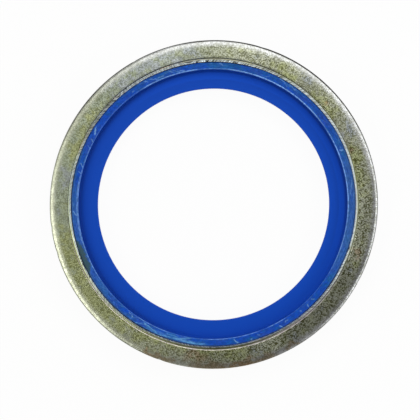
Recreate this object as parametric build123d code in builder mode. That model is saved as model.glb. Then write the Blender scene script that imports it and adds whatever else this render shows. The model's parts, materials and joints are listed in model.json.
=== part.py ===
from build123d import *
import os

os.makedirs("parts", exist_ok=True)

# A self-centring bonded sealing washer for a G1 pipe thread. A flat steel ring is blanked from
# sheet, and a rubber lip is moulded and bonded into its bore. The lip stands proud of both steel
# faces, and a thin membrane inside it grips the thread's root, which centres the washer.
#
# Millimetres, +Z up. The origin is on the washer's axis, level with the crest of the lower lip,
# which is what the washer lies on. The radial widths run outwards from the hole: with the sizes
# below, the steel's bore is 36.88 across and its outside 42.80.

# Rubber, radial sizes from the hole outwards
hole_diameter = 30.29  # the root diameter of the thread that the membrane grips
membrane_width = 2.295  # from the hole to the foot of the lip
wall_run = 0.16  # draft of the lip's inner wall
crest_width = 0.74
flank_run = 0.24  # the lip's outer flank, down to its foot on the ledge
ledge_cover = 0.14  # how far the rubber laps over the steel's ledge

# Rubber, heights and roundings
membrane_thickness = 0.90
lip_height = 0.34  # how far the crest stands above the steel's face
crest_bevel = 0.08  # crest to inner wall
foot_fillet = 0.30  # inner wall to membrane

# Steel ring
ring_thickness = 3.38
ring_width = 2.96  # radial, from the bore to the outside
ledge_width = 0.35  # bare ledge between the rubber's foot and the shoulder
ledge_depth = 0.12
ledge_slope = 0.12  # radial run of the shoulder between ledge and face
roll_width = 0.75  # the soft edge that blanking rolls over on the upper side
roll_depth = 0.34
burnish_depth = 1.60  # the sheared wall is smooth and straight down to this depth
break_taper = 0.07  # below it the wall is torn, and leans in by this much
burr_bevel = 0.15  # the lower edge, broken by tumbling after blanking

# Radii that both pieces share
hole_radius = hole_diameter / 2
wall_foot_radius = hole_radius + membrane_width
corner_radius = wall_foot_radius + wall_run
crest_radius = corner_radius + crest_width
lip_foot_radius = crest_radius + flank_run
bore_radius = lip_foot_radius - ledge_cover
ledge_radius = lip_foot_radius + ledge_width
shoulder_radius = ledge_radius + ledge_slope
outer_radius = bore_radius + ring_width

# Heights from the washer's mid plane, the same above and below
face_height = ring_thickness / 2
ledge_height = face_height - ledge_depth
crest_height = face_height + lip_height
membrane_height = membrane_thickness / 2

# Both sections are drawn on one plane through the axis: its x is the radius, its y is the
# height above the mid plane.
section_plane = Plane(origin=(0, 0, crest_height), x_dir=(1, 0, 0), z_dir=(0, -1, 0))

# Steel ring: an upper edge rolled over by the punch, a wall that is smooth above and torn
# below, and a coined ledge round the bore on each face, where the mould closed on the steel.
with BuildPart() as steel_ring:
    with BuildSketch(section_plane):
        with BuildLine():
            roll = TangentArc(
                (outer_radius - roll_width, face_height),
                (outer_radius, face_height - roll_depth),
                tangent=(1, 0),
            )
            Polyline(
                roll @ 1,
                (outer_radius, face_height - burnish_depth),
                (outer_radius - break_taper, -face_height),
                (shoulder_radius, -face_height),
                (ledge_radius, -ledge_height),
                (bore_radius, -ledge_height),
                (bore_radius, ledge_height),
                (ledge_radius, ledge_height),
                (shoulder_radius, face_height),
                roll @ 0,
            )
        make_face()
    revolve(axis=Axis.Z)

    burr_edge = steel_ring.edges().group_by(Axis.Z)[0].sort_by(SortBy.RADIUS)[-1]
    chamfer(burr_edge, length=burr_bevel)

# Rubber seal: half of its section, from the membrane's hole over the lip to the steel's bore,
# mirrored about the mid plane. It meets the steel face to face on the bore and on both ledges.
with BuildPart() as rubber_seal:
    with BuildSketch(section_plane):
        with BuildLine():
            lip = FilletPolyline(
                (hole_radius, 0),
                (hole_radius, membrane_height),
                (wall_foot_radius, membrane_height),
                (corner_radius, crest_height),
                (crest_radius, crest_height),
                (lip_foot_radius, ledge_height),
                (bore_radius, ledge_height),
                (bore_radius, 0),
                radius=(0, foot_fillet, 0, 0, 0, 0),
            )
            Line(lip @ 1, lip @ 0)
        make_face()
        mirror(about=Plane.XZ)
    revolve(axis=Axis.Z)

    lower_crest_edge = rubber_seal.edges().group_by(Axis.Z)[0].sort_by(SortBy.RADIUS)[0]
    upper_crest_edge = rubber_seal.edges().group_by(Axis.Z)[-1].sort_by(SortBy.RADIUS)[0]
    chamfer([lower_crest_edge, upper_crest_edge], length=crest_bevel)

steel_ring.part.label = "steel_ring"
rubber_seal.part.label = "rubber_seal"
export_step(steel_ring.part, "parts/steel_ring.step")
export_step(rubber_seal.part, "parts/rubber_seal.step")
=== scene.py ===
import json
import math

import bpy
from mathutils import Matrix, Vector
from mathutils.noise import noise


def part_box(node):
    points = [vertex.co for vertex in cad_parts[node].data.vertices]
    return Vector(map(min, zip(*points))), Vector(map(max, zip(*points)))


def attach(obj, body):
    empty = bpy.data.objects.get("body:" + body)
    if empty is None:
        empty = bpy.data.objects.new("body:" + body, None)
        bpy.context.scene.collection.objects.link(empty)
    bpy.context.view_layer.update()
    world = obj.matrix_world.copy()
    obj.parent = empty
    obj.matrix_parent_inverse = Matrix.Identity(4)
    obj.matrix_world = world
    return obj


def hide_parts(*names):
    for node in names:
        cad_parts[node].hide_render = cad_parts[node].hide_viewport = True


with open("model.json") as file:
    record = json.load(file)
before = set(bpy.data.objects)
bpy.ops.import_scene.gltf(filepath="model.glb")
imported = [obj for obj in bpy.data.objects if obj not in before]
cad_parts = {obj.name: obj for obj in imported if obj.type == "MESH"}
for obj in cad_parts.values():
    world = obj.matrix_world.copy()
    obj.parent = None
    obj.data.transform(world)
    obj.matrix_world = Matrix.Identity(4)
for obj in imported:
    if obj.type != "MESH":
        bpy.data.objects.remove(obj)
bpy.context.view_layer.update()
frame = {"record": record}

# A bonded sealing washer lying flat, seen from straight above: a zinc plated, yellow-green
# passivated steel ring with a blue rubber lip and centring membrane bonded into its bore.
#
# Lengths are millimetres and are turned into metres where objects are made. Heights of the
# washer's own section are measured from its mid plane. Directions round the washer run clockwise
# from +Y, which is the top of the picture, and are degrees where they are written down.

MM = 0.001

# ------------------------------------------------------------------ sizes taken from the frame

steel_low, steel_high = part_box("steel_ring")
rubber_low, rubber_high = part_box("rubber_seal")
membrane_bore = next(m for m in frame["record"]["mounts"] if m["name"] == "membrane_bore")

MIDDLE = (rubber_low.z + rubber_high.z) / 2 / MM
FACE = (steel_high.z - steel_low.z) / 2 / MM
CREST = (rubber_high.z - rubber_low.z) / 2 / MM
MEMBRANE = membrane_bore["dims"]["length_mm"] / 2
HOLE_RADIUS = membrane_bore["dims"]["r_mm"]
OUTER_RADIUS = steel_high.x / MM
FOOT_RADIUS = rubber_high.x / MM

# ------------------------------------------------------------------ the section's smaller sizes

LEDGE = FACE - 0.12
BORE_RADIUS = FOOT_RADIUS - 0.14
BEAD = FACE - 0.045  # the lip of metal that the mould pinches up beside the rubber
BEAD_RADIUS = FOOT_RADIUS + 0.01
GROOVE = FACE - 0.14
LEDGE_RADIUS = FOOT_RADIUS + 0.33
SHOULDER_RADIUS = LEDGE_RADIUS + 0.09
ROLL_WIDTH = 0.80
ROLL_DEPTH = 0.34
ROLL_FALL = 0.16  # where the gentle part of the roll would reach the wall
ROLL_ROUNDING = 2.1
EDGE_ROUNDING = 0.18
BURNISH_DEPTH = 1.60
TORN_RADIUS = OUTER_RADIUS - 0.07
BURR = 0.15

CREST_RADIUS = FOOT_RADIUS - 0.24
CORNER_RADIUS = CREST_RADIUS - 0.74
WALL_FOOT_RADIUS = CORNER_RADIUS - 0.16

# ------------------------------------------------------------------ how far it is out of true

OVALITY = 0.003  # punching leaves the ring longer one way and shorter across, by this share
OVAL_ALONG = 37
ROUNDNESS = 1 - 0.00085  # keeps the oval inside the round box

# radius, then how far what lies there is off the ring's centre to the right and up
STEEL_OFFSETS = (
    (BEAD_RADIUS, -0.083, 0.035),
    (LEDGE_RADIUS, -0.077, 0.080),
    (LEDGE_RADIUS + 1.2, 0, 0),
)
RUBBER_OFFSETS = (
    (HOLE_RADIUS + 1.0, -0.037, 0.016),
    (WALL_FOOT_RADIUS, -0.110, 0.047),
    (FOOT_RADIUS, -0.083, 0.035),
)

# where the bead lies further in: direction, cosines at which that starts and is full, how far
PINCHES = ((165, 0.35, 0.85, 0.05), (355, 0.90, 0.99, 0.04), (264, 0.92, 1.0, 0.03))


def ease(value, low, high):
    """0 below low, 1 above high and smooth between them."""
    t = min(1.0, max(0.0, (value - low) / (high - low)))
    return t * t * (3 - 2 * t)


def out_of_true(angle, radius, offsets):
    """Where a point of the true shape lies on the real one."""
    _, right, up = offsets[0]
    for before, after in zip(offsets, offsets[1:]):
        share = ease(radius, before[0], after[0])
        right += (after[1] - before[1]) * share
        up += (after[2] - before[2]) * share
    radius += right * math.sin(angle) + up * math.cos(angle)
    return radius * (ROUNDNESS + OVALITY * math.cos(2 * (angle - math.radians(OVAL_ALONG))))


def pinched(angle):
    """How much further in the bead lies there."""
    total = 0.0
    for direction, start, full, far in PINCHES:
        total += far * ease(math.cos(angle - math.radians(direction)), start, full)
    return total


# ------------------------------------------------------------------ mesh

COLUMNS = 720
STEP = 0.17  # the longest distance between two points of a section
ARC_STEP = math.radians(13)


def corner_arc(before, corner, after, rounding):
    """The points that round off one corner of an outline."""
    if rounding == 0:
        return [corner]
    back = (before - corner).normalized()
    ahead = (after - corner).normalized()
    half_angle = back.angle(ahead) / 2
    centre = corner + (back + ahead).normalized() * rounding / math.sin(half_angle)
    start = corner + back * rounding / math.tan(half_angle) - centre
    finish = corner + ahead * rounding / math.tan(half_angle) - centre
    first = math.atan2(start.y, start.x)
    turn = math.remainder(math.atan2(finish.y, finish.x) - first, 2 * math.pi)
    steps = max(2, math.ceil(abs(turn) / ARC_STEP))
    angles = [first + turn * i / steps for i in range(steps + 1)]
    return [centre + rounding * Vector((math.cos(a), math.sin(a))) for a in angles]


def outline(corners):
    """A closed line through corners given as (radius, height, rounding), rounded and divided."""
    places = [Vector(corner[:2]) for corner in corners]
    rounded = []
    for i, (_, _, rounding) in enumerate(corners):
        after = places[(i + 1) % len(places)]
        rounded += corner_arc(places[i - 1], places[i], after, rounding)
    divided = []
    for i, point in enumerate(rounded):
        gap = rounded[(i + 1) % len(rounded)] - point
        parts = max(1, math.ceil(gap.length / STEP))
        divided += [point + gap * k / parts for k in range(parts)]
    return divided


def lathe(name, section, shape):
    """Turns a section about the axis. shape(angle, radius, height) moves each point a little."""
    vertices = []
    for column in range(COLUMNS):
        angle = 2 * math.pi * column / COLUMNS
        for radius, height in section:
            r, h = shape(angle, radius, height)
            up = max(0.0, MIDDLE + h)
            vertices.append((r * math.sin(angle) * MM, r * math.cos(angle) * MM, up * MM))
    rows = len(section)
    faces = []
    for column in range(COLUMNS):
        here = column * rows
        there = (column + 1) % COLUMNS * rows
        for row in range(rows):
            above = (row + 1) % rows
            faces.append((here + row, there + row, there + above, here + above))
    mesh = bpy.data.meshes.new(name)
    mesh.from_pydata(vertices, [], faces)
    mesh.polygons.foreach_set("use_smooth", [True] * len(faces))
    piece = bpy.data.objects.new(name, mesh)
    bpy.context.scene.collection.objects.link(piece)
    return piece


def ripple(angle, waves, seed):
    """Smooth noise from about -1 to 1 that closes round the ring, with so many waves a radian."""
    return noise(Vector((math.sin(angle) * waves, math.cos(angle) * waves, seed)))


def degrees_apart(angle, direction):
    return abs(math.remainder(math.degrees(angle) - direction, 360))


# ------------------------------------------------------------------ steel ring: form

ROLL_SPREADS = (  # times round the ring, direction of a widest place, share it widens by there
    (2, 38, 0.22),
    (3, 45, 0.07),
)
FACE_WAVE = 0.012
FACE_CROWN = 0.014  # how far the face falls towards its edge
TEAR_DEPTH = 0.05

NICKS = (  # direction, depth, reach along the edge
    (17, 0.03, 0.35),
    (118, 0.04, 0.25),
    (199, 0.03, 0.40),
    (253, 0.05, 0.30),
    (262, 0.07, 0.22),
    (331, 0.03, 0.30),
)


def rolled(angle, radius):
    """Widens or narrows the rolled edge, and fades out over the face."""
    share = 0.92 + 0.06 * ripple(angle, 3, 1.7)
    for times, widest, amount in ROLL_SPREADS:
        share += amount * math.cos(times * (angle - math.radians(widest)))
    inwards = OUTER_RADIUS - radius
    if inwards < ROLL_WIDTH:
        return OUTER_RADIUS - inwards * share
    fade = 1 - ease(inwards, ROLL_WIDTH, 2.2 * ROLL_WIDTH)
    return radius - ROLL_WIDTH * (share - 1) * fade


def crowned(angle, radius, height):
    """The face falls a little towards its edge, and waves."""
    place = Vector((radius * math.sin(angle), radius * math.cos(angle), height))
    swell = 0.5 + 0.5 * noise(place * 0.35)
    outwards = (radius - SHOULDER_RADIUS) / (OUTER_RADIUS - ROLL_WIDTH - SHOULDER_RADIUS)
    fall = FACE_WAVE * swell + FACE_CROWN * min(1.0, outwards) ** 3
    return height * (1 - fall / FACE * (abs(height) / FACE) ** 6)


def torn(angle, height):
    """How far the tears below the smooth part of the wall go in."""
    start = BURNISH_DEPTH - 0.2 + 0.3 * ripple(angle, 9, 4.2)
    share = ease(FACE - height, start, BURNISH_DEPTH + 0.25)
    return TEAR_DEPTH * share * (0.5 + 0.5 * ripple(angle, 70, 0.4 * height))


def nicked(angle, height):
    """How far the knocks on the upper edge go in."""
    depth = 0.0
    for direction, deep, reach in NICKS:
        along = math.radians(degrees_apart(angle, direction)) * OUTER_RADIUS
        depth += deep * math.exp(-((along / reach) ** 2))
    return depth * ease(height, FACE - 2.4 * ROLL_DEPTH, FACE - ROLL_DEPTH)


def blanked_steel(angle, radius, height):
    """The turned section as blanking and tumbling leave it."""
    if height > 0:
        radius = rolled(angle, radius)
    if radius > SHOULDER_RADIUS:
        height = crowned(angle, radius, height)
    on_bead = ease(radius, BORE_RADIUS, FOOT_RADIUS - 0.08)
    on_bead *= 1 - ease(radius, BEAD_RADIUS, LEDGE_RADIUS)
    radius -= pinched(angle) * on_bead
    on_wall = ease(radius, OUTER_RADIUS - 0.30, OUTER_RADIUS - 0.12)
    radius -= on_wall * (torn(angle, height) + nicked(angle, height))
    return out_of_true(angle, radius, STEEL_OFFSETS), height


def steel_section():
    upper = [
        (BORE_RADIUS, LEDGE, 0),
        (FOOT_RADIUS - 0.08, LEDGE, 0),
        (BEAD_RADIUS, BEAD, 0.03),
        (LEDGE_RADIUS, GROOVE, 0.03),
        (SHOULDER_RADIUS, FACE, 0.16),
        (OUTER_RADIUS - ROLL_WIDTH / 2, FACE, ROLL_ROUNDING),
        (OUTER_RADIUS, FACE - ROLL_FALL, EDGE_ROUNDING),
        (OUTER_RADIUS, FACE - BURNISH_DEPTH, 0.2),
    ]
    lower = [
        (TORN_RADIUS, BURR - FACE, 0.06),
        (TORN_RADIUS - BURR, -FACE, 0.06),
        (SHOULDER_RADIUS, -FACE, 0.06),
        (LEDGE_RADIUS, -GROOVE, 0.03),
        (BEAD_RADIUS, -BEAD, 0.03),
        (FOOT_RADIUS - 0.08, -LEDGE, 0),
        (BORE_RADIUS, -LEDGE, 0),
    ]
    return outline(upper + lower)


# ------------------------------------------------------------------ rubber seal: form

FOOT_RAGGED = 0.07
FOOT_TRIM = 0.015
TRIM_BY_PINCH = 2.3  # the foot is trimmed so many times as far as the bead lies in
CREST_RAGGED = 0.015


def moulded_rubber(angle, radius, height):
    """The turned section with the trimmed flash of the lip's foot and a slightly uneven crest."""
    side = 1 if height > 0 else 5  # the two lips are trimmed differently
    foot = ease(radius, CREST_RADIUS + 0.03, FOOT_RADIUS)
    foot *= ease(abs(height), LEDGE - 0.05, LEDGE)
    coarse = ripple(angle, 7, side)
    fine = ripple(angle, 75, side)
    trim = FOOT_TRIM + TRIM_BY_PINCH * pinched(angle)
    radius += foot * (FOOT_RAGGED * (0.45 * coarse + 0.75 * fine) - trim)
    crest = ease(abs(height), CREST - 0.25, CREST)
    crest *= 1 - ease(radius, CORNER_RADIUS, CREST_RADIUS)
    radius += CREST_RAGGED * crest * ripple(angle, 26, 2 * side)
    return out_of_true(angle, radius, RUBBER_OFFSETS), height


def rubber_half(side):
    """One side's corners of the section, from the hole outwards."""
    return [
        (HOLE_RADIUS, side * MEMBRANE, 0.06),
        (WALL_FOOT_RADIUS, side * MEMBRANE, 0.06),
        (CORNER_RADIUS - 0.05, side * CREST, 0.07),
        (CREST_RADIUS, side * CREST, 0.10),
        (FOOT_RADIUS, side * LEDGE, 0),
        (BORE_RADIUS, side * LEDGE, 0),
    ]


def rubber_section():
    return outline(rubber_half(1) + rubber_half(-1)[::-1])


# ------------------------------------------------------------------ node trees


class Net:
    """A material's node tree. Wherever a value is asked for, a number or a socket will do."""

    def __init__(self, name):
        self.material = bpy.data.materials.new(name)
        self.material.use_nodes = True
        self.tree = self.material.node_tree
        self.tree.nodes.clear()

    def feed(self, socket, value):
        if isinstance(value, bpy.types.NodeSocket):
            self.tree.links.new(value, socket)
        else:
            socket.default_value = value

    def node(self, kind, inputs, **settings):
        made = self.tree.nodes.new(kind)
        for name, value in settings.items():
            setattr(made, name, value)
        for key, value in inputs.items():
            self.feed(made.inputs[key], value)
        return made

    def math(self, operation, *values):
        inputs = dict(enumerate(values))
        return self.node("ShaderNodeMath", inputs, operation=operation).outputs[0]

    def add(self, *values):
        total = values[0]
        for value in values[1:]:
            total = self.math("ADD", total, value)
        return total

    def times(self, *values):
        product = values[0]
        for value in values[1:]:
            product = self.math("MULTIPLY", product, value)
        return product

    def opposite(self, mask):
        return self.math("SUBTRACT", 1.0, mask)

    def either(self, *masks):
        highest = masks[0]
        for mask in masks[1:]:
            highest = self.math("MAXIMUM", highest, mask)
        return highest

    def ease(self, value, low, high, start=0.0, end=1.0):
        """start where value is at low, end where it is at high, smooth between and flat beyond."""
        kind = "SMOOTHSTEP"
        if low > high:
            low, high, start, end = high, low, end, start
        inputs = {0: value, 1: low, 2: high, 3: start, 4: end}
        return self.node("ShaderNodeMapRange", inputs, interpolation_type=kind).outputs[0]

    def band(self, value, low, high, soft):
        """1 from low to high, and 0 further than soft outside."""
        rise = self.ease(value, low - soft, low)
        return self.times(rise, self.ease(value, high + soft, high))

    def noise(self, place, scale, detail=2.0, roughness=0.5, distortion=0.0):
        inputs = {"Vector": place, "Scale": scale, "Detail": detail}
        inputs.update({"Roughness": roughness, "Distortion": distortion})
        return self.node("ShaderNodeTexNoise", inputs).outputs[0]

    def cells(self, place, scale):
        """A random value for each small cell."""
        inputs = {"Vector": place, "Scale": scale}
        colour = self.node("ShaderNodeTexVoronoi", inputs).outputs["Color"]
        return self.node("ShaderNodeSeparateColor", {"Color": colour}).outputs[0]

    def mix(self, share, colour, other):
        inputs = {0: share, 6: colour, 7: other}
        return self.node("ShaderNodeMix", inputs, data_type="RGBA").outputs[2]

    def product(self, colour, other):
        inputs = {0: colour, 1: other}
        return self.node("ShaderNodeVectorMath", inputs, operation="MULTIPLY").outputs[0]

    def scaled(self, colour, factor):
        inputs = {0: colour, "Scale": factor}
        return self.node("ShaderNodeVectorMath", inputs, operation="SCALE").outputs[0]

    def vector(self, x, y, z=0.0):
        return self.node("ShaderNodeCombineXYZ", {0: x, 1: y, 2: z}).outputs[0]

    def dot(self, vector, other):
        inputs = {0: vector, 1: other}
        return self.node("ShaderNodeVectorMath", inputs, operation="DOT_PRODUCT").outputs["Value"]

    def bump(self, height, depth):
        """A bump so many millimetres deep where height goes from 0 to 1."""
        inputs = {"Height": height, "Distance": depth * MM, "Strength": 1.0}
        return self.node("ShaderNodeBump", inputs).outputs[0]

    def principled(self, colour, roughness, normal, constants):
        """The finished material. Constants are values that are the same all over it."""
        inputs = {"Base Color": colour, "Roughness": roughness, "Normal": normal}
        inputs.update(constants)
        return self.surface(self.node("ShaderNodeBsdfPrincipled", inputs).outputs[0])

    def surface(self, shader):
        output = self.node("ShaderNodeOutputMaterial", {})
        self.tree.links.new(shader, output.inputs["Surface"])
        return self.material


class WasherNet(Net):
    """A node tree that knows where on the washer it is, in millimetres."""

    def __init__(self, name, offsets):
        super().__init__(name)
        coordinates = self.node("ShaderNodeTexCoord", {}).outputs["Object"]
        self.place = self.scaled(coordinates, 1 / MM)
        x, y, z = self.node("ShaderNodeSeparateXYZ", {0: self.place}).outputs
        self.angle = self.math("ARCTAN2", x, y)
        self.height = self.math("SUBTRACT", z, MIDDLE)
        self.up_or_down = self.math("ABSOLUTE", self.height)
        self.upper = self.ease(self.height, -0.2, 0.2)  # single marks are on the upper side only
        length, self.compass = self.bearing(self.place)
        self.radius = self.true_radius(length, offsets)
        self.unrolled = self.vector(self.times(self.angle, OUTER_RADIUS), self.radius, self.height)
        self.strayed = self.stray(0.7, 3.5)
        self.scuffed = self.stray(4.0, 0.45)
        _, self.loose = self.bearing(self.strayed)

    def bearing(self, place):
        """How far that place is from the axis, and its direction as a sine and a cosine."""
        x, y, _ = self.node("ShaderNodeSeparateXYZ", {0: place}).outputs
        length = self.math("SQRT", self.add(self.times(x, x), self.times(y, y)))
        return length, (self.math("DIVIDE", x, length), self.math("DIVIDE", y, length))

    def true_radius(self, length, offsets):
        """The radius that this place has on the true shape. It undoes out_of_true."""
        along = self.facing(OVAL_ALONG)
        oval = self.add(self.times(along, along, 2 * OVALITY), ROUNDNESS - OVALITY)
        radius = self.math("DIVIDE", length, oval)
        _, right, up = offsets[0]
        for before, after in zip(offsets, offsets[1:]):
            share = self.ease(radius, before[0], after[0])
            right = self.add(right, self.times(share, after[1] - before[1]))
            up = self.add(up, self.times(share, after[2] - before[2]))
        sine, cosine = self.compass
        off = self.add(self.times(sine, right), self.times(cosine, up))
        return self.math("SUBTRACT", radius, off)

    def stray(self, scale, reach):
        """The place moved about by noise, so that what is drawn by it gets an irregular edge."""
        inputs = {"Vector": self.place, "Scale": scale, "Detail": 4.0, "Roughness": 0.65}
        colour = self.node("ShaderNodeTexNoise", inputs).outputs["Color"]
        inputs = {0: colour, 1: (0.5, 0.5, 0.5)}
        offset = self.node("ShaderNodeVectorMath", inputs, operation="SUBTRACT").outputs[0]
        inputs = {0: self.place, 1: self.scaled(offset, reach)}
        return self.node("ShaderNodeVectorMath", inputs, operation="ADD").outputs[0]

    def facing(self, direction, compass=None):
        """The cosine of the angle round the ring between here and that direction."""
        sine, cosine = compass or self.compass
        along = self.times(sine, math.sin(math.radians(direction)))
        return self.add(along, self.times(cosine, math.cos(math.radians(direction))))

    def sector(self, direction, half_width, soft, compass=None):
        """1 within half_width degrees of that direction, fading out over soft degrees more."""
        outer = math.cos(math.radians(half_width + soft))
        inner = math.cos(math.radians(half_width))
        return self.ease(self.facing(direction, compass), outer, inner)

    def sectors(self, places, compass=None):
        return self.either(*[self.sector(*place, compass) for place in places])

    def tones(self, places):
        """Adds up amounts given as (direction, half width, softness, amount)."""
        return self.add(*[self.times(self.sector(*place[:3]), place[3]) for place in places])

    def offset(self, direction, radius, heading, place):
        """How far the place lies from that point, along the heading and across it."""
        turn = math.radians(direction)
        where = (radius * math.sin(turn), radius * math.cos(turn), 0)
        inputs = {0: place, 1: where}
        offset = self.node("ShaderNodeVectorMath", inputs, operation="SUBTRACT").outputs[0]
        way = math.radians(heading - direction)
        along = self.dot(offset, (math.cos(way), math.sin(way), 0))
        return along, self.dot(offset, (-math.sin(way), math.cos(way), 0))

    def blob(self, direction, radius, along, across):
        """A patch with a soft, straying edge, centred there, so far from its middle each way."""
        forward, outward = self.offset(direction, radius, 0, self.strayed)
        forward = self.times(forward, 1 / along)
        outward = self.times(outward, 1 / across)
        squares = self.add(self.times(forward, forward), self.times(outward, outward))
        return self.ease(squares, 1.6, 0.0)

    def blobs(self, places):
        return self.either(*[self.blob(*place) for place in places])

    def stroke(self, direction, radius, heading, length, width, strength):
        """A mark centred there. Heading 0 runs along the ring and 90 points outwards."""
        along, across = self.offset(direction, radius, heading, self.scuffed)
        near = self.ease(self.math("ABSOLUTE", across), width, 0.3 * width, 0.0, strength)
        return self.times(near, self.ease(self.math("ABSOLUTE", along), length / 2, 0.25 * length))

    def strokes(self, marks):
        return self.either(*[self.stroke(*mark) for mark in marks])

    def hairlines(self, place, *headings):
        """Fine straight scratches that run these ways."""
        lines = 0.0
        for seed, heading in enumerate(headings):
            way = math.radians(heading)
            along = self.dot(place, (math.cos(way), math.sin(way), 0))
            across = self.dot(place, (-math.sin(way), math.cos(way), 0))
            stretched = self.vector(self.times(along, 0.35), self.times(across, 5.0), 8.0 * seed)
            lines = self.either(lines, self.ease(self.noise(stretched, 1.0, 2.0, 0.5), 0.62, 0.72))
        return lines

    def dirtied(self, colour):
        """That colour, with specks caught along the line where the rubber meets the steel. The long
        one beside the stain is partly a painted shadow line.
        """
        return self.mix(self.times(self.upper, self.strokes(SPECKS)), colour, DIRT)


DIRT = (0.012, 0.012, 0.012, 1)

SPECKS = (  # direction, radius, heading, length, half width, strength
    (8.7, 18.67, 0, 0.30, 0.12, 1.0),
    (107.8, 18.49, -5, 0.6, 0.11, 1.0),
    (178.3, 18.64, 0, 0.7, 0.08, 0.95),
    (181.5, 18.62, 0, 0.3, 0.09, 0.9),
    (224, 18.66, 5, 0.8, 0.06, 0.7),
    (239.8, 18.68, 0, 0.35, 0.10, 0.9),
    # partly dirt, partly a painted shadow line between the bead and the stain
    (246.8, 18.66, -2, 3.4, 0.10, 0.90),
    (353.1, 18.66, 0, 0.3, 0.12, 1.0),
    (357.3, 18.68, 0, 0.5, 0.13, 1.0),
)

# ------------------------------------------------------------------ plated steel

OLIVE_GREY = (0.36, 0.375, 0.262, 1)
SEA_GREY = (0.335, 0.375, 0.262, 1)
YELLOW_GREEN = (0.355, 0.38, 0.18, 1)
BLUE_GREY = (0.35, 0.38, 0.36, 1)
BARE_ZINC = (0.54, 0.55, 0.53, 1)
CREAM_ZINC = (0.54, 0.56, 0.44, 1)
# the painted highlight on the shoulder's rise
ROSE_HIGHLIGHT = (0.72, 0.645, 0.61, 1)
RUST = (0.40, 0.22, 0.08, 1)
BROWN = (0.33, 0.265, 0.16, 1)
RED_BROWN = (0.44, 0.31, 0.19, 1)
# dark edge: the torn wall's own darker finish, and painted shade on the corner above the wall
DARK_EDGE = (0.07, 0.07, 0.065, 1)
# the brown of the painted shade in the groove and on the shoulder, and of the darker ledge at the
# bottom
GROOVE_BROWN = (0.12, 0.085, 0.05, 1)
# the bead's worn zinc, which its wear and painted light scale
WORN_ZINC = (0.40, 0.45, 0.47)  # three numbers, because polish scales it as a vector

STEEL_RELIEF = -0.006  # below 0: where the specks and streaks are high, the steel is pitted
YELLOW_RADII = (20.4, 19.5)  # where the yellower clouds are faintest, and where they are full

# what the tops and the pits of the grain, and its hairlines, multiply the colour by
HIGH_GRAIN = (1.78, 1.78, 2.05, 1)
LOW_GRAIN = (0.22, 0.22, 0.10, 1)
NO_GRAIN = (1, 1, 1, 1)
HAIRLINE = (1.28, 1.28, 1.28, 1)

# direction, half width and softness in degrees
YELLOW_SECTORS = (
    (30, 2, 6), (47, 8, 8), (74, 5, 9), (178, 7, 10), (202, 6, 8), (232, 12, 14), (252, 11, 8),
    (300, 9, 12),
)
BLUE_SECTORS = ((38, 1, 6), (61, 2, 6), (264, 1, 5), (282, 2, 6), (335, 12, 14))
RUSTY_SECTORS = ((158, 2, 3), (297, 4, 4), (315, 2, 3), (341, 1, 2))
SOLID_BEAD = ((84, 22, 10), (177, 7, 6), (268, 9, 6))  # elsewhere it is broken into dashes

# direction, half width and softness in degrees, and how much lighter it is there: painted light and
# shade by direction, on the face partly also patchy tone of the plating
FACE_TONES = (
    (0, 4, 6, -0.10), (11, 5, 7, 0.15), (22, 5, 6, -0.05), (41, 4, 6, -0.12), (74, 16, 14, -0.09),
    (90, 3, 5, 0.06), (100, 4, 5, -0.05), (133, 12, 14, -0.38), (174, 8, 9, -0.13),
    (180, 3, 5, -0.05), (218, 14, 12, 0.17), (231, 3, 5, -0.11), (248, 12, 10, 0.05),
    (303, 8, 10, -0.05), (325, 10, 8, -0.07), (340, 5, 6, 0.08),
)
ROLL_TONES = (
    (27, 12, 12, -0.08), (60, 8, 12, 0.20), (98, 12, 12, -0.22), (120, 6, 10, -0.18),
    (150, 12, 12, -0.10), (240, 14, 14, 0.18), (300, 8, 10, -0.05), (332, 12, 14, 0.02),
)
LEDGE_TONES = (
    (8, 16, 12, -0.08), (12, 6, 8, -0.07), (45, 5, 12, 0.12), (70, 10, 10, 0.16), (108, 7, 7, 0.13),
    (121, 4, 8, 0.15), (145, 10, 14, 0.25), (152, 7, 12, 0.45), (182, 14, 16, 1.1),
    (210, 8, 10, 0.10), (250, 14, 10, 0.16), (289, 6, 6, -0.12), (306, 14, 14, 0.30),
    (320, 10, 10, 0.08),
)

# direction, half width and softness in degrees, and how much further in these lie there: the
# painted shade on the outer corner, the groove, the bead's outer side and the rise's inner side
CORNER_SHIFTS = ((30, 10, 12, 0.03), (332, 10, 10, -0.06))
GROOVE_SHIFTS = ((322, 18, 10, -0.08), (358, 8, 8, 0.05))
BEAD_SHIFTS = ((2, 12, 10, 0.02), (98, 14, 10, 0.09), (250, 9, 6, 0.04), (322, 18, 10, -0.14))
RISE_SHIFTS = ((136, 14, 8, 0.14),)

# direction, radius, reach along and across
BLUE_BLOBS = ((67, 20.4, 1.5, 0.5), (163, 20.1, 1.5, 0.5), (213.5, 20.8, 0.7, 0.5))
# the spots on the rolled edge at the bottom, from about 150 to 205, are partly real colour and partly
# painted shade
RUST_BLOBS = (
    (48, 19.65, 0.65, 0.30), (171, 21.3, 2.6, 0.3), (195, 21.1, 0.5, 0.2), (204, 20.9, 0.4, 0.4),
)
BROWN_BLOBS = (
    (68.7, 19.28, 0.5, 0.2), (108.5, 19.6, 0.8, 0.5), (150, 21.0, 1.2, 0.3), (166, 21.2, 3.6, 0.7),
    (180, 21.2, 3.6, 0.9), (186, 19.8, 1.6, 0.6), (200, 21.2, 2.0, 0.5),
)

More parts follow.
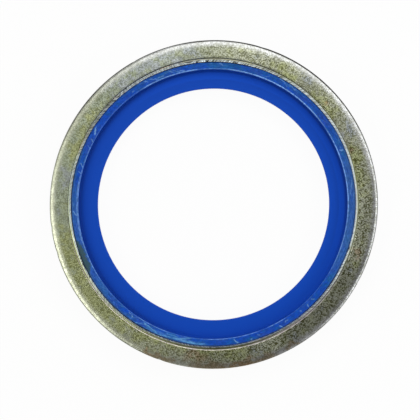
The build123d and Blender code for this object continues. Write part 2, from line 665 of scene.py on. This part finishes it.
# painted glints on the bead: bright dashes of highlight
GLINTS = (  # direction, radius, heading, length, half width, strength of a bright dash
    (0.6, 18.68, 0, 0.90, 0.08, 0.4),
    (5.8, 18.67, 0, 1.30, 0.10, 1.0),
    (10.0, 18.68, 0, 0.65, 0.09, 0.7),
    (15.0, 18.68, -4, 0.70, 0.10, 0.7),
    (243.5, 18.76, 2, 1.2, 0.10, 0.35),
    (248.2, 18.77, -2, 1.5, 0.10, 0.30),
    (253.2, 18.78, 3, 0.9, 0.11, 0.40),
    (256.4, 18.78, 2, 1.1, 0.12, 0.45),
    (352.4, 18.67, 0, 0.35, 0.10, 0.9),
    (356.0, 18.67, 0, 0.80, 0.10, 1.0),
)


class SteelNet(WasherNet):
    """The steel's node tree, which also knows its face, its edge, its wall and its grain."""

    def __init__(self):
        super().__init__("plated_steel", STEEL_OFFSETS)
        self.on_top = self.ease(self.up_or_down, FACE - 0.35, FACE - 0.05)
        self.rolled = self.ease(self.radius, OUTER_RADIUS - 1.1, OUTER_RADIUS - 0.35)
        off_roll = self.ease(self.radius, OUTER_RADIUS - 1.2, OUTER_RADIUS - 0.4, 1.0, 0.4)
        off_ledge = self.ease(self.radius, SHOULDER_RADIUS - 0.1, SHOULDER_RADIUS + 0.05)
        self.face = self.times(self.on_top, off_roll, off_ledge)
        self.wall = self.times(self.ease(self.radius, OUTER_RADIUS - 0.30, OUTER_RADIUS - 0.06),
                               self.ease(self.height, FACE - 0.20, FACE - 0.34))
        below = self.ease(self.height, FACE - BURNISH_DEPTH + 0.1, FACE - BURNISH_DEPTH - 0.1)
        self.torn = self.times(self.wall, below)
        worms = self.noise(self.place, 7.0, 2.0, 0.7)
        grains = self.cells(self.place, 7.4)
        self.speck = self.ease(self.add(self.times(worms, 0.38), self.times(grains, 0.62)), 0.26, 0.74)


def zinc_colour(net, fine_cloud, blue):
    """Olive zinc with yellower and bluer clouds, and barer where the edge is rolled, with painted
    highlight and shade on the rolled edge.
    """
    cloud = net.noise(net.place, 0.9, 2.0, 0.6)
    inner = net.either(net.ease(net.radius, *YELLOW_RADII, 0.4, 1.0), net.sector(238, 24, 12))
    yellow = net.times(net.sectors(YELLOW_SECTORS, net.loose), inner)
    tone = net.add(net.times(cloud, 1.1), net.times(fine_cloud, 0.2), -0.20)
    tone = net.add(tone, net.times(yellow, 0.33), net.times(blue, -0.27))
    colour = net.mix(net.ease(net.facing(285), 0.0, 0.9), OLIVE_GREY, SEA_GREY)
    colour = net.mix(net.ease(tone, 0.45, 0.85), colour, YELLOW_GREEN)
    colour = net.mix(net.ease(tone, 0.38, 0.08), colour, BLUE_GREY)
    bare = net.mix(net.ease(net.facing(255), 0.0, 0.8), BARE_ZINC, CREAM_ZINC)
    # painted highlight and shade on the rolled edge, by direction
    bare = net.scaled(bare, net.add(net.tones(ROLL_TONES), 1.0))
    return net.mix(net.times(net.rolled, 0.9), colour, bare)


def spotted(net, colour, fine_cloud):
    """Brown and rusty spots that the fine clouds break up. Those on the rolled edge at the bottom are
    partly painted shade.
    """
    brown = net.times(net.blobs(BROWN_BLOBS), net.ease(fine_cloud, 0.2, 0.6, 0.6, 0.95))
    colour = net.mix(brown, colour, BROWN)
    rust = net.times(net.blobs(RUST_BLOBS), net.ease(fine_cloud, 0.35, 0.65, 0.15, 0.6))
    return net.mix(rust, colour, RUST)


def grain_tint(net, blue):
    """What the grain multiplies the colour by: most at the lower right, least at the upper left."""
    contrast = net.add(net.ease(net.facing(125), -0.9, -0.3, 0.46, 0.58),
                       net.ease(net.facing(125), -0.3, 0.95, 0, 0.42))
    rough = net.times(net.face, contrast, net.ease(blue, 0, 1, 1.0, 0.75))
    tint = net.mix(net.ease(net.speck, 0, 1), HIGH_GRAIN, LOW_GRAIN)
    tint = net.mix(rough, NO_GRAIN, tint)
    smooth = net.ease(net.radius, OUTER_RADIUS - 0.6, OUTER_RADIUS - 1.0)
    smooth = net.times(net.sector(322, 25, 20), smooth)
    return net.mix(net.times(net.hairlines(net.place, 40, -35), smooth), tint, HAIRLINE)


def steel_colour(net):
    fine_cloud = net.noise(net.place, 3.6, 3.0, 0.7, 0.4)
    blue = net.either(net.sectors(BLUE_SECTORS, net.loose), net.blobs(BLUE_BLOBS))
    colour = spotted(net, zinc_colour(net, fine_cloud, blue), fine_cloud)
    mottle = net.ease(net.noise(net.place, 1.3, 3.0, 0.65), 0.3, 0.7, 0.88, 1.12)
    # painted light and shade on the face by direction, partly patchy tone
    tones = net.times(net.tones(FACE_TONES), net.opposite(net.rolled))
    colour = net.scaled(colour, net.times(mottle, net.add(1.0, tones)))
    return net.product(colour, grain_tint(net, blue))


def slanted_dashes(net):
    """Polish marks across the ledge. They lean one way at the top right, the other elsewhere."""
    slant = net.ease(net.facing(30), 0.3, 0.8, 1.3, -1.1)
    along = net.add(net.times(net.angle, OUTER_RADIUS), net.times(net.radius, slant))
    dashes = net.noise(net.vector(along, net.times(net.radius, 0.15)), 4.7, 2.0, 0.7)
    return net.ease(dashes, 0.42, 0.56)


def bead_mask(net):
    """Where the bead lies across the ledge. It moves as in pinched(), and is narrow at the bottom."""
    inwards = [net.ease(net.facing(at), start, full, 0.0, far) for at, start, full, far in PINCHES]
    bead = net.add(net.radius, *inwards)
    bottom = net.ease(net.facing(178), 0.7, 0.95, 0.0, 0.14)
    outside = net.add(bead, bottom, net.tones(BEAD_SHIFTS))
    return net.times(net.ease(bead, BEAD_RADIUS - 0.10, BEAD_RADIUS - 0.06),
                     net.ease(outside, LEDGE_RADIUS - 0.01, LEDGE_RADIUS - 0.07))


def bead_wear_and_light(net, dashes):
    """How bright the bead is: worn bright in dashes, with painted light and shade by direction and
    painted glints.
    """
    # painted light and shade: the bead's brightness by direction, and across it at the lower right and
    # the top
    level = net.add(net.ease(net.facing(108), 0.4, 0.85, 0.5, 1.05), net.tones(LEDGE_TONES))
    wide = net.ease(net.radius, BEAD_RADIUS, BEAD_RADIUS + 0.25, -0.05, 1.2)
    wide = net.times(net.sector(134, 18, 12), wide)
    inner = net.ease(net.radius, BEAD_RADIUS, BEAD_RADIUS + 0.22, 0.03, -0.11)
    inner = net.times(net.sector(2, 24, 10), inner)
    gaps = net.ease(net.facing(350), 0.72, 0.88, 0.48, 0.12)
    peaks = net.ease(net.facing(350), 0.72, 0.88, 1.32, 1.80)
    broken = net.ease(dashes, 0, 1, gaps, peaks)
    solid = net.ease(dashes, 0, 1, 0.64, 1.18)
    worn = net.ease(net.sectors(SOLID_BEAD), 0, 1, broken, solid)
    glints = net.ease(net.strokes(GLINTS), 0, 1, 1.0, 2.1)
    return net.times(net.add(level, wide, inner), worn, glints)


def darker_ledge(net, ledge):
    """The ledge darker at the bottom of the picture, and painted shade on two stretches of shoulder.
    """
    bottom_darker = net.band(net.radius, LEDGE_RADIUS - 0.15, LEDGE_RADIUS, 0.06)
    bottom_darker = net.times(ledge, bottom_darker, net.sector(184, 20, 14), 0.4)
    # painted shade on the shoulder, at the right and at the left
    right = net.band(net.radius, SHOULDER_RADIUS, SHOULDER_RADIUS + 0.16, 0.06)
    right = net.times(net.on_top, right, net.sector(68, 10, 12), 0.25)
    left = net.band(net.radius, LEDGE_RADIUS + 0.02, SHOULDER_RADIUS + 0.06, 0.06)
    left = net.times(net.on_top, left, net.sector(252, 12, 8), 0.30)
    return net.either(bottom_darker, right, left)


def lit_rise(net, dashes):
    """The shoulder's rise, with a painted pink highlight at the bottom of the picture, broken by the
    dashes.
    """
    start = net.add(net.radius, net.tones(RISE_SHIFTS))
    inside = net.ease(start, LEDGE_RADIUS - 0.02, LEDGE_RADIUS + 0.03)
    outside = net.ease(net.radius, SHOULDER_RADIUS + 0.09, SHOULDER_RADIUS + 0.04)
    bottom = net.ease(net.facing(188), 0.2, 0.75, 0.0, 0.95)
    return net.times(net.on_top, inside, outside, bottom, net.ease(dashes, 0, 1, 0.55, 1.0))


def ledge_colour(net, colour):
    """The coined ledge: a worn bright bead beside the rubber, with painted light on it, and a groove
    at the shoulder, with painted shade at the top and on two stretches of shoulder.
    """
    groove_place = net.add(net.radius, net.tones(GROOVE_SHIFTS))
    ledge = net.ease(groove_place, SHOULDER_RADIUS - 0.04, SHOULDER_RADIUS - 0.12)
    ledge = net.times(net.on_top, ledge)
    dashes = slanted_dashes(net)
    polished_and_lit = net.scaled(WORN_ZINC, bead_wear_and_light(net, dashes))
    colour = net.mix(net.times(ledge, bead_mask(net), 0.92), colour, polished_and_lit)
    groove = net.band(groove_place, LEDGE_RADIUS - 0.02, LEDGE_RADIUS + 0.04, 0.04)
    # painted shade: the groove is dark at the top of the picture only
    deep = net.ease(net.facing(18), 0.3, 0.85, 0.0, 0.9)
    colour = net.mix(net.times(ledge, groove, deep), colour, GROOVE_BROWN)
    # darker ledge at the bottom, and painted shade on the shoulder
    colour = net.mix(darker_ledge(net, ledge), colour, GROOVE_BROWN)
    rusty = net.band(net.radius, LEDGE_RADIUS - 0.08, LEDGE_RADIUS + 0.04, 0.04)
    rusty = net.times(ledge, rusty, net.sectors(RUSTY_SECTORS, net.loose), dashes, 0.7)
    colour = net.mix(rusty, colour, RED_BROWN)
    return net.mix(lit_rise(net, dashes), colour, ROSE_HIGHLIGHT)


def wall_colour(net, colour):
    """The torn part of the wall is darker, and painted shade lies on the corner above the wall,
    darkest at the top.
    """
    colour = net.mix(net.times(net.torn, 0.45), colour, DARK_EDGE)
    edge = net.add(net.radius, net.times(net.facing(5), 0.035), net.tones(CORNER_SHIFTS))
    corner = net.times(net.ease(edge, OUTER_RADIUS - 0.20, OUTER_RADIUS - 0.10),
                       net.band(net.height, FACE - 0.5, FACE - 0.11, 0.1))
    # painted shade, darkest at the top of the picture
    shade_at_top = net.ease(net.facing(0), 0.0, 0.8, 0.15, 0.95)
    return net.mix(net.times(corner, shade_at_top), colour, DARK_EDGE)


def plated_steel():
    net = SteelNet()
    colour = net.dirtied(ledge_colour(net, steel_colour(net)))
    colour = wall_colour(net, colour)
    streaks = net.noise(net.product(net.unrolled, (1.0, 0.08, 0.12)), 5.0, 3.0, 0.6)
    roughness = net.add(net.ease(net.face, 0, 1, 0.25, 0.27), net.times(net.face, net.speck, 0.12))
    roughness = net.add(roughness, net.times(net.torn, 0.25), net.times(streaks, 0.08))
    relief = net.add(net.times(net.face, net.speck), net.times(net.wall, streaks, 0.8))
    return net.principled(colour, roughness, net.bump(relief, STEEL_RELIEF), {"Metallic": 1.0})


# ------------------------------------------------------------------ blue rubber

DEEP_BLUE = (0.003, 0.066, 0.49, 1)
CHAFED_BLUE = (0.010, 0.090, 0.39, 1)
TEAL_BLUE = (0.006, 0.110, 0.36, 1)
VIOLET_BLUE = (0.016, 0.070, 0.42, 1)
PALE_BLUE = (0.060, 0.19, 0.50, 1)
EDGE_SCUFF_AND_HIGHLIGHT_BLUE = (0.23, 0.46, 0.95, 1)
SCRATCH_BLUE = (0.16, 0.34, 0.66, 1)
SHADE_BLUE = (0.001, 0.022, 0.20, 1)
SIDE_GREY_BLUE = (0.042, 0.128, 0.39, 1)
FOOT_SHADE_AND_SHEEN_BLUE = (0.034, 0.115, 0.35, 1)
CYAN = (0.12, 0.35, 0.66, 1)
STAIN = (0.040, 0.088, 0.085, 1)
OLIVE_STAIN = (0.055, 0.085, 0.055, 1)

SCRATCHES = (  # direction, radius, heading, length, half width, strength
    (3.0, 18.27, -35, 0.8, 0.10, 0.55),
    (22.5, 17.97, 32, 1.0, 0.06, 0.40),
    (28.7, 18.40, -8, 1.0, 0.09, 0.60),
    (31, 18.15, -28, 0.9, 0.06, 0.40),
    (34, 18.33, -12, 1.5, 0.09, 0.50),
    (65.6, 18.05, -20, 0.5, 0.06, 0.40),
    (66.9, 18.00, 60, 0.6, 0.16, 0.70),
    (81.5, 18.12, -8, 1.6, 0.05, 0.35),
    (83.5, 17.93, -12, 2.2, 0.06, 0.45),
    (86.5, 18.22, -15, 1.2, 0.05, 0.35),
    (133.7, 17.82, -50, 0.6, 0.10, 0.60),
    (137.1, 17.95, 80, 0.5, 0.10, 0.70),
    (140.8, 17.83, -40, 0.4, 0.10, 0.70),
    (148, 17.80, 5, 0.7, 0.09, 0.55),
    (150.7, 18.26, -55, 1.2, 0.10, 1.00),
    (161, 17.91, -35, 0.5, 0.08, 0.60),
    (164.5, 18.24, 60, 0.5, 0.17, 0.65),
    (170.8, 18.02, -52, 0.95, 0.10, 0.80),
    (216.2, 17.95, -45, 0.5, 0.10, 0.65),
    (217.6, 17.84, 10, 0.5, 0.10, 0.65),
    (265.9, 17.83, -19, 0.5, 0.07, 0.85),
    (266.3, 18.13, 32, 0.85, 0.07, 0.85),
    (283.4, 17.93, 70, 0.6, 0.08, 0.65),
    (286.6, 17.90, 40, 0.8, 0.11, 0.65),
    (294.7, 17.88, 62, 0.6, 0.07, 0.65),
    (297.7, 17.88, 65, 0.6, 0.07, 0.65),
    (301.7, 18.10, 27, 1.25, 0.14, 1.00),
    (324.5, 18.04, 0, 0.5, 0.09, 0.45),
    (331.0, 18.25, -30, 0.8, 0.12, 0.45),
    (334.5, 18.02, -22, 1.5, 0.09, 0.65),
    (337.5, 17.95, -8, 1.0, 0.10, 0.50),
    (342, 18.15, -35, 1.2, 0.07, 0.45),
    (344.3, 18.00, -25, 1.4, 0.07, 0.45),
    (346.7, 17.86, -15, 1.0, 0.11, 0.60),
)

SMEAR = (  # the same, for a long fibrous rub
    (184.8, 18.20, -6, 1.4, 0.18, 0.60),
    (187.5, 18.24, -10, 2.4, 0.16, 1.00),
    (190.8, 18.20, -8, 2.4, 0.15, 0.90),
    (191.5, 18.12, -3, 4.2, 0.32, 0.50),
    (191.8, 17.76, 12, 1.9, 0.09, 0.80),
    (193.5, 17.93, 14, 1.9, 0.08, 0.80),
    (195.0, 18.12, 2, 1.8, 0.14, 0.95),
    (197.5, 17.82, 4, 2.0, 0.09, 0.65),
    (201.0, 18.26, 9, 2.6, 0.13, 0.90),
    (203.5, 18.12, 2, 4.0, 0.28, 0.32),
    (205.5, 18.15, -14, 1.6, 0.12, 0.80),
    (208.5, 17.93, -10, 1.6, 0.13, 0.95),
    (212.3, 18.27, 20, 1.6, 0.07, 0.70),
)

# direction, radius, reach along and across
TEAL_BLOBS = (
    (5, 18.1, 3.0, 0.5), (66.9, 18.0, 0.5, 0.35), (105, 18.0, 1.6, 0.4), (122.5, 18.0, 1.3, 0.4),
    (164, 18.25, 0.8, 0.3), (206, 18.4, 1.4, 0.25),
)
VIOLET_BLOBS = (
    (17.5, 18.0, 1.4, 0.4), (41, 18.1, 1.6, 0.4), (53, 18.1, 1.6, 0.4), (158.5, 18.2, 1.2, 0.4),
    (212, 18.0, 1.5, 0.4), (295, 18.1, 1.3, 0.4), (301.5, 17.8, 1.3, 0.2),
)

# direction, half width and softness in degrees, and how much lighter or stronger it is there. The band
# tones are painted light and shade; the edge and foot tones set how strong the painted highlight and
# the painted shade and sheen are
BAND_TONES = ((28, 6, 6, 0.04), (155, 22, 12, -0.07), (352, 4, 6, 0.06))
EDGE_TONES = (
    (0, 8, 8, 0.16), (30, 17, 9, 1.0), (75, 13, 9, 0.85), (101, 9, 8, 0.45), (152, 2, 3, 0.45),
    (172, 8, 6, 0.42), (207, 4, 5, 0.4), (246, 4, 6, 0.35), (271, 14, 8, 0.24), (288, 4, 6, 0.15),
    (296, 3, 5, 0.12), (340, 9, 5, 0.58),
)
FOOT_TONES = ((92, 26, 12, 0.6), (236, 50, 14, 0.65))

# direction, half width and softness in degrees
CLEAN_SECTORS = ((150, 24, 16), (305, 8, 8))

STAIN_AT = 248
STAIN_REACH = 9  # degrees from there to where its edge no longer sags
STAIN_SAG = 0.86
STAIN_FRAY = 1.1
RUBBER_RELIEF = 0.012


class RubberNet(WasherNet):
    """The rubber's node tree, which also knows where the lip is and how it is chafed."""

    def __init__(self):
        super().__init__("blue_rubber", RUBBER_OFFSETS)
        self.crest = self.times(self.ease(self.up_or_down, CREST - 0.42, CREST - 0.28),
                                self.ease(self.radius, CORNER_RADIUS - 0.10, CORNER_RADIUS - 0.04))
        drawn = self.product(self.unrolled, (0.22, 1.0, 1.0))
        self.streaks = self.noise(drawn, 2.8, 4.0, 0.65, 0.5)
        self.fibres = self.noise(drawn, 7.0, 3.0, 0.7, 0.3)
        self.patches = self.noise(self.strayed, 0.5, 3.0, 0.6)
        self.worn = self.ease(self.sectors(CLEAN_SECTORS), 0.0, 1.0, 1.0, 0.2)


def lip_colour(net):
    """Chafed and dusty patches, greyer patches at the right and the lower left, and patches of a more
    teal or violet blue.
    """
    chafed = net.ease(net.add(net.times(net.streaks, 0.6), net.times(net.patches, 0.5)), 0.40, 0.68)
    colour = net.mix(net.times(net.crest, chafed, net.worn), DEEP_BLUE, CHAFED_BLUE)
    hue = net.noise(net.place, 0.8, 2.0, 0.6)
    teal = net.either(net.ease(hue, 0.52, 0.68, 0.0, 0.6), net.blobs(TEAL_BLOBS))
    violet = net.either(net.ease(hue, 0.48, 0.32, 0.0, 0.6), net.blobs(VIOLET_BLOBS))
    colour = net.mix(net.times(net.crest, teal, 0.9), colour, TEAL_BLUE)
    colour = net.mix(net.times(net.crest, violet, 0.9), colour, VIOLET_BLUE)
    dusty = net.times(net.ease(net.streaks, 0.52, 0.72), net.ease(net.patches, 0.35, 0.6, 0.1, 0.55))
    colour = net.mix(net.times(net.crest, net.worn, dusty), colour, PALE_BLUE)
    greyer_sides = net.either(net.sector(95, 14, 18), net.times(net.sector(252, 14, 16), 0.7))
    greyer_sides = net.times(greyer_sides, net.crest, net.ease(net.fibres, 0.35, 0.6, 0.3, 0.8))
    return net.mix(greyer_sides, colour, SIDE_GREY_BLUE)


def lip_edges(net, colour):
    """The greyer, darker foot beside the steel, painted shade and sheen that are strongest at the
    right and the lower left, and the pale broken line along the inner corner, partly scuffing and
    partly a painted highlight.
    """
    # painted shade and sheen at the foot, strongest at the right and the lower left
    foot = net.times(net.crest, net.ease(net.radius, CREST_RADIUS - 0.14, CREST_RADIUS + 0.02))
    foot = net.times(foot, net.add(net.tones(FOOT_TONES), 0.15))
    colour = net.mix(foot, colour, FOOT_SHADE_AND_SHEEN_BLUE)
    broad = net.add(net.times(net.sector(268, 9, 9), 0.14), net.times(net.facing(350), 0.03))
    narrowed = net.math("SUBTRACT", net.radius, broad)
    # the inner corner's line: scuffing, and a painted highlight whose strength follows the lamps
    edge = net.times(net.ease(net.radius, CORNER_RADIUS - 0.18, CORNER_RADIUS - 0.12),
                     net.ease(narrowed, CORNER_RADIUS + 0.08, CORNER_RADIUS + 0.02))
    strength = net.add(net.tones(EDGE_TONES), 0.16)
    broken = net.ease(net.noise(net.place, 2.4, 3.0, 0.75), 0.36, 0.58, 0.40, 1.15)
    return net.mix(net.times(net.crest, edge, strength, broken), colour, EDGE_SCUFF_AND_HIGHLIGHT_BLUE)


def lip_shade(net, colour):
    """Lighter and darker mottling and fibres, on the lip only, with painted light and shade by
    direction.
    """
    # painted light and shade by direction
    tone = net.add(0.91, net.tones(BAND_TONES), net.times(net.facing(20), -0.06))
    mottle = net.ease(net.noise(net.place, 3.6, 3.0, 0.75), 0.3, 0.7, 0.82, 1.18)
    shade = net.times(tone, mottle, net.ease(net.fibres, 0.3, 0.7, 0.74, 1.26))
    return net.scaled(colour, net.ease(net.crest, 0.0, 1.0, 1.0, shade))


def lip_marks(net, colour, scratched):
    """The long smear, the single scratches and the fine hairlines."""
    smeared = net.times(net.strokes(SMEAR), net.crest, net.upper)
    smeared = net.times(smeared, net.ease(net.fibres, 0.35, 0.55, 0.4, 1.0))
    smeared = net.times(smeared, net.ease(net.radius, FOOT_RADIUS - 0.12, FOOT_RADIUS - 0.26))
    colour = net.mix(smeared, colour, CYAN)
    fine = net.times(net.crest, net.worn, net.hairlines(net.unrolled, 22, -25), 0.22)
    return net.mix(net.either(scratched, fine), colour, SCRATCH_BLUE)


def lip_stain(net, colour):
    """A dark stain that hangs inwards from the lip's foot, with a frayed edge."""
    frayed = net.noise(net.place, 3.0, 3.0, 0.65)
    sag = net.ease(net.facing(STAIN_AT), math.cos(math.radians(STAIN_REACH)), 1.0, 0.0, STAIN_SAG)
    depth = net.math("SUBTRACT", FOOT_RADIUS + 0.05, net.radius)
    depth = net.add(depth, net.times(net.add(frayed, -0.5), STAIN_FRAY))
    stain = net.ease(net.math("SUBTRACT", depth, sag), 0.22, -0.20)
    stain = net.times(stain, net.ease(net.fibres, 0.35, 0.65, 0.82, 1.0), 0.95)
    stain = net.times(stain, net.crest, net.upper, net.sector(STAIN_AT, 7, 3))
    stain_colour = net.mix(net.ease(frayed, 0.45, 0.65), STAIN, OLIVE_STAIN)
    return net.mix(stain, colour, stain_colour)


def membrane_shade(net, colour):
    """Painted shade towards the wall's foot, where the lip shades the membrane, and painted light at
    the top right, which lifts the lip's shadow there.
    """
    membrane = net.opposite(net.crest)
    # painted shade, deepest beside the wall on the left, with a dark line at the foot at the top right
    hollow = net.ease(net.radius, WALL_FOOT_RADIUS - 0.85, WALL_FOOT_RADIUS + 0.05)
    hollow = net.times(hollow, hollow, net.ease(net.facing(275), -0.2, 0.7, 0.0, 0.62))
    foot_line = net.ease(net.radius, WALL_FOOT_RADIUS - 0.26, WALL_FOOT_RADIUS - 0.04)
    foot_line = net.times(foot_line, net.ease(net.facing(30), 0.0, 0.6, 0.15, 0.55))
    dark = net.times(net.either(hollow, foot_line), membrane)
    colour = net.mix(dark, colour, SHADE_BLUE)
    # painted light, at the top right
    clear = net.band(net.radius, WALL_FOOT_RADIUS - 0.90, WALL_FOOT_RADIUS - 0.40, 0.30)
    clear = net.times(clear, membrane, net.ease(net.facing(40), -0.1, 0.8, 0.0, 0.22))
    return net.scaled(colour, net.add(clear, 1.0))


def blue_rubber():
    net = RubberNet()
    scratched = net.times(net.crest, net.upper, net.strokes(SCRATCHES))
    colour = lip_shade(net, lip_edges(net, lip_colour(net)))
    colour = lip_stain(net, lip_marks(net, colour, scratched))
    colour = net.dirtied(membrane_shade(net, colour))
    roughness = net.add(net.times(net.crest, 0.08), net.ease(net.streaks, 0.3, 0.7, 0.42, 0.52))
    relief = net.add(net.times(net.streaks, net.crest), net.times(scratched, -0.6))
    constants = {"Specular IOR Level": 0.12}
    return net.principled(colour, roughness, net.bump(relief, RUBBER_RELIEF), constants)


# ------------------------------------------------------------------ floor, light and camera

PICTURE_WIDTH = 420  # pixels, and the picture is square
WASHER_DIAMETER_SEEN = 328.74  # pixels
WASHER_CENTRE_SEEN = (213.86, 204.5)  # pixels from the picture's left and top
LENS = 200  # a long lens: the walls of the hole hardly show
SENSOR = 36  # the width of the film behind it

FLOOR_HALF = 900  # half the floor's side
FLOOR_COLOUR = (0.86, 0.86, 0.86, 1)
FLOOR_SEEN_WHITE = 0.95  # how much of the floor's own shade gives way to plain white


def floor_material():
    """Pale and matt. Seen directly or in the metal it is nearly white, and keeps a soft shadow."""
    net = Net("floor")
    matt = net.node("ShaderNodeBsdfDiffuse", {"Color": FLOOR_COLOUR}).outputs[0]
    white = net.node("ShaderNodeEmission", {"Color": (1, 1, 1, 1), "Strength": 1.0}).outputs[0]
    path = net.node("ShaderNodeLightPath", {}).outputs
    seen = net.either(path["Is Camera Ray"], path["Is Glossy Ray"], path["Is Transmission Ray"])
    share = net.times(seen, FLOOR_SEEN_WHITE)
    mixed = net.node("ShaderNodeMixShader", {0: share, 1: matt, 2: white})
    return net.surface(mixed.outputs[0])


def make_floor():
    half = FLOOR_HALF * MM
    mesh = bpy.data.meshes.new("floor")
    corners = [(-half, -half, 0), (half, -half, 0), (half, half, 0), (-half, half, 0)]
    mesh.from_pydata(corners, [], [(0, 1, 2, 3)])
    mesh.materials.append(floor_material())
    floor = bpy.data.objects.new("floor", mesh)
    bpy.context.scene.collection.objects.link(floor)


LAMP_HEIGHT = 250


def soft_box(name, centre, size, turn, brightness, colour=(1, 1, 1)):
    """A flat lamp hung level over the table. Brightness 1 is a lamp as bright as plain white."""
    lamp = bpy.data.lights.new(name, "AREA")
    lamp.shape = "RECTANGLE"
    lamp.size, lamp.size_y = size[0] * MM, size[1] * MM
    lamp.energy = 4 * lamp.size * lamp.size_y * brightness
    lamp.color = colour
    holder = bpy.data.objects.new(name, lamp)
    holder.location = Vector((*centre, LAMP_HEIGHT)) * MM
    holder.rotation_euler = (0, 0, math.radians(turn))
    holder.visible_camera = False
    bpy.context.scene.collection.objects.link(holder)


def make_lights():
    soft_box("back", centre=(48, 159), size=(257, 184), turn=24, brightness=1.6)
    soft_box("left", (-179, -48), (167, 245), 0, brightness=1.6, colour=(1.0, 1.0, 0.93))
    soft_box("right", (260, -5), (140, 380), 0, brightness=2.05)


HORIZON = 1.0
HORIZON_UP_TO = 0.08  # the sine of the height above the horizon
ZENITH = 0.12
ZENITH_FROM = 0.90


def make_world():
    """A studio that is white at the horizon and dim overhead."""
    world = bpy.data.worlds.new("studio")
    world.use_nodes = True
    nodes = world.node_tree.nodes
    links = world.node_tree.links
    direction = nodes.new("ShaderNodeTexCoord")
    parts = nodes.new("ShaderNodeSeparateXYZ")
    level = nodes.new("ShaderNodeMapRange")
    level.inputs["From Min"].default_value = HORIZON_UP_TO
    level.inputs["From Max"].default_value = ZENITH_FROM
    level.inputs["To Min"].default_value = HORIZON
    level.inputs["To Max"].default_value = ZENITH
    links.new(direction.outputs["Generated"], parts.inputs[0])
    links.new(parts.outputs["Z"], level.inputs["Value"])
    links.new(level.outputs[0], nodes["Background"].inputs["Strength"])
    nodes["Background"].inputs["Color"].default_value = (1, 1, 1, 1)
    bpy.context.scene.world = world


def make_camera():
    millimetres_a_pixel = 2 * OUTER_RADIUS / WASHER_DIAMETER_SEEN
    width = PICTURE_WIDTH * millimetres_a_pixel
    right_of_middle = (WASHER_CENTRE_SEEN[0] - PICTURE_WIDTH / 2) * millimetres_a_pixel
    above_middle = (PICTURE_WIDTH / 2 - WASHER_CENTRE_SEEN[1]) * millimetres_a_pixel
    rim = MIDDLE + FACE - ROLL_DEPTH
    data = bpy.data.cameras.new("camera")
    data.lens = LENS
    data.sensor_width = SENSOR
    data.clip_start = 0.01
    data.clip_end = 10
    camera = bpy.data.objects.new("camera", data)
    away = width * LENS / SENSOR
    camera.location = Vector((-right_of_middle, -above_middle, rim + away)) * MM
    bpy.context.scene.collection.objects.link(camera)
    bpy.context.scene.camera = camera


# ------------------------------------------------------------------ the scene


def dress(piece, node, material):
    """The piece takes the node's place on the washer, in that finish."""
    piece.data.materials.append(material)
    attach(piece, "root")
    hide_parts(node)


ring = lathe("plated_ring", steel_section(), blanked_steel)
dress(ring, "steel_ring", plated_steel())
seal = lathe("moulded_seal", rubber_section(), moulded_rubber)
dress(seal, "rubber_seal", blue_rubber())
make_floor()
make_lights()
make_world()
make_camera()
bpy.context.scene.view_settings.view_transform = "Standard"
